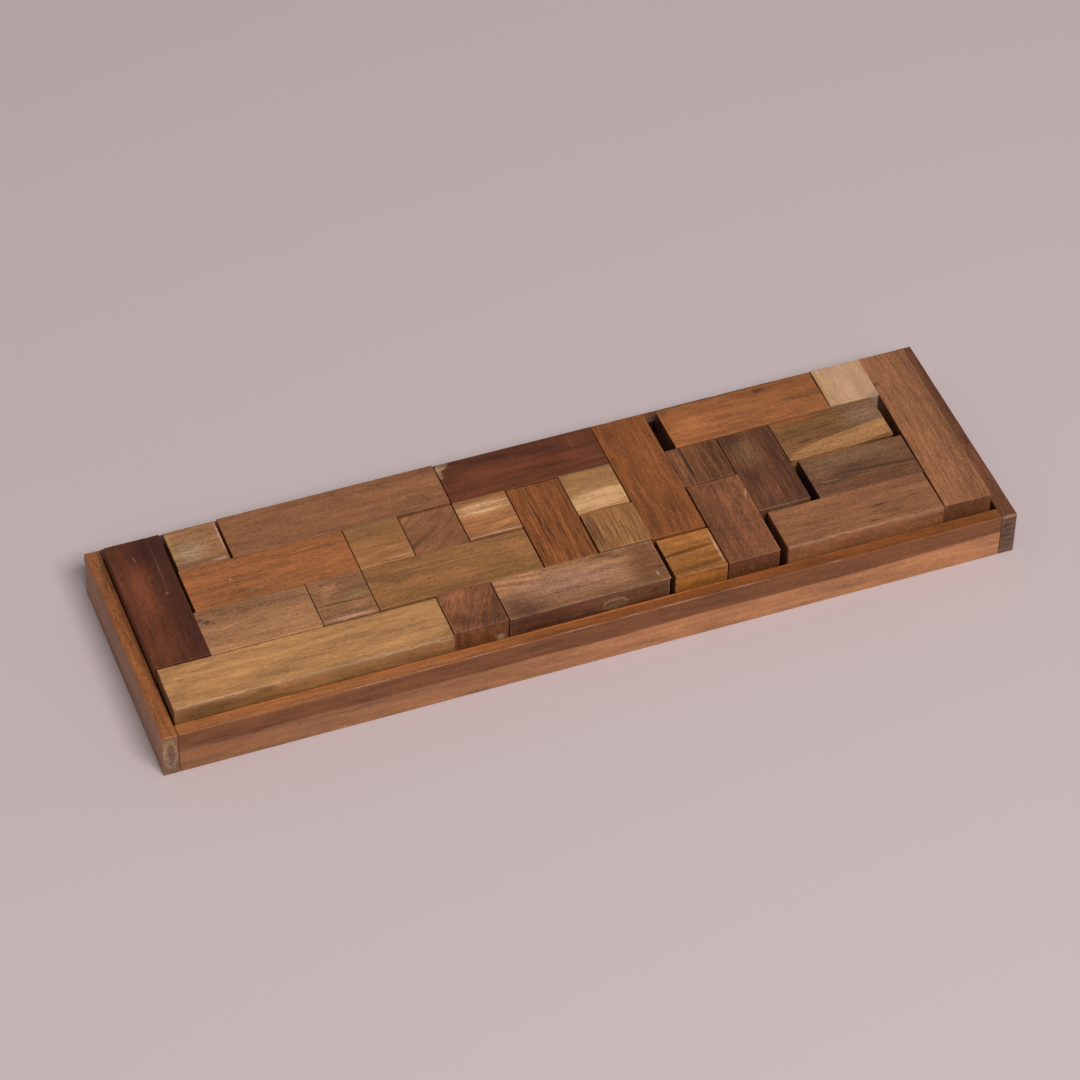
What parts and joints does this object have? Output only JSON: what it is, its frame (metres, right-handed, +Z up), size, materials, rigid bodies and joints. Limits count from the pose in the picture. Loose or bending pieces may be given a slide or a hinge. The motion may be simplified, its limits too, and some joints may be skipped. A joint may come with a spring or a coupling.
{
  "type": "pentomino packing puzzle",
  "caption": "Flat wooden packing puzzle: pentomino shapes glued up from square teak sticks, laid side by side in a long shallow open tray and lifted out to be rearranged.",
  "frame": {"origin": "under the middle of the tray, on the surface that it stands on", "axes": "+X along the tray from its left end to its right end, +Y from its front to its back, +Z up, the way the pieces lift out"},
  "size_m": [0.3158, 0.093, 0.0244],
  "materials": {
    "brown_rail": "sanded and oiled teak, satin",
    "dark_rail": "sanded and oiled dark teak, satin",
    "two_tone_rail": "sanded and oiled teak, brown above and light orange below, satin",
    "cream_teak": "sanded sapwood, satin",
    "golden_teak": "sanded and oiled teak, satin",
    "tan_teak": "sanded and oiled teak, satin",
    "orange_teak": "sanded and oiled teak, satin",
    "mauve_teak": "sanded and oiled teak, satin",
    "striped_teak": "sanded and oiled striped teak, satin",
    "olive_teak": "sanded and oiled teak with olive streaks, satin",
    "grey_teak": "sanded and oiled grey-brown teak, satin",
    "dark_teak": "sanded and oiled dark heartwood, satin"
  },
  "bodies": {
    "tray": {"left_rail": "brown_rail", "right_rail": "dark_rail", "front_rail": "two_tone_rail", "back_rail": "two_tone_rail", "base_panel": "tan_teak"},
    "v_piece": {"v_upright": "dark_teak", "v_foot": "tan_teak"},
    "z_piece": {"z_head": "tan_teak", "z_middle": "orange_teak", "z_tail": "olive_teak"},
    "y_piece": {"y_bar": "mauve_teak", "y_stub": "golden_teak"},
    "u_piece": {"u_bar": "dark_teak", "u_left_leg": "cream_teak", "u_right_leg": "cream_teak"},
    "x_piece": {"x_bar": "olive_teak", "x_top": "mauve_teak", "x_bottom": "grey_teak"},
    "t_piece": {"t_stem": "striped_teak", "t_bar": "mauve_teak"},
    "f_piece": {"f_bar": "orange_teak", "f_left_arm": "striped_teak", "f_right_arm": "striped_teak"},
    "n_piece": {"n_back": "orange_teak", "n_front": "olive_teak"},
    "w_piece": {"w_low": "striped_teak", "w_foot": "golden_teak", "w_high": "dark_teak"},
    "l_piece": {"l_bar": "orange_teak", "l_foot": "cream_teak"},
    "p_piece": {"p_short": "grey_teak", "p_long": "mauve_teak"},
    "i_piece": {"i_stick": "golden_teak"}
  },
  "joints": [
    {"name": "lift_v", "type": "slide", "parent": "tray", "child": "v_piece", "axis": [0, 0, 1], "range_m": [0, 0.03]},
    {"name": "lift_z", "type": "slide", "parent": "tray", "child": "z_piece", "axis": [0, 0, 1], "range_m": [0, 0.03]},
    {"name": "lift_y", "type": "slide", "parent": "tray", "child": "y_piece", "axis": [0, 0, 1], "range_m": [0, 0.03]},
    {"name": "lift_u", "type": "slide", "parent": "tray", "child": "u_piece", "axis": [0, 0, 1], "range_m": [0, 0.03]},
    {"name": "lift_x", "type": "slide", "parent": "tray", "child": "x_piece", "axis": [0, 0, 1], "range_m": [0, 0.03]},
    {"name": "lift_t", "type": "slide", "parent": "tray", "child": "t_piece", "axis": [0, 0, 1], "range_m": [0, 0.03]},
    {"name": "lift_f", "type": "slide", "parent": "tray", "child": "f_piece", "axis": [0, 0, 1], "range_m": [0, 0.03]},
    {"name": "lift_n", "type": "slide", "parent": "tray", "child": "n_piece", "axis": [0, 0, 1], "range_m": [0, 0.03]},
    {"name": "lift_w", "type": "slide", "parent": "tray", "child": "w_piece", "axis": [0, 0, 1], "range_m": [0, 0.03]},
    {"name": "lift_l", "type": "slide", "parent": "tray", "child": "l_piece", "axis": [0, 0, 1], "range_m": [0, 0.03]},
    {"name": "lift_p", "type": "slide", "parent": "tray", "child": "p_piece", "axis": [0, 0, 1], "range_m": [0, 0.03]},
    {"name": "lift_i", "type": "slide", "parent": "tray", "child": "i_piece", "axis": [0, 0, 1], "range_m": [0, 0.03]}
  ]
}
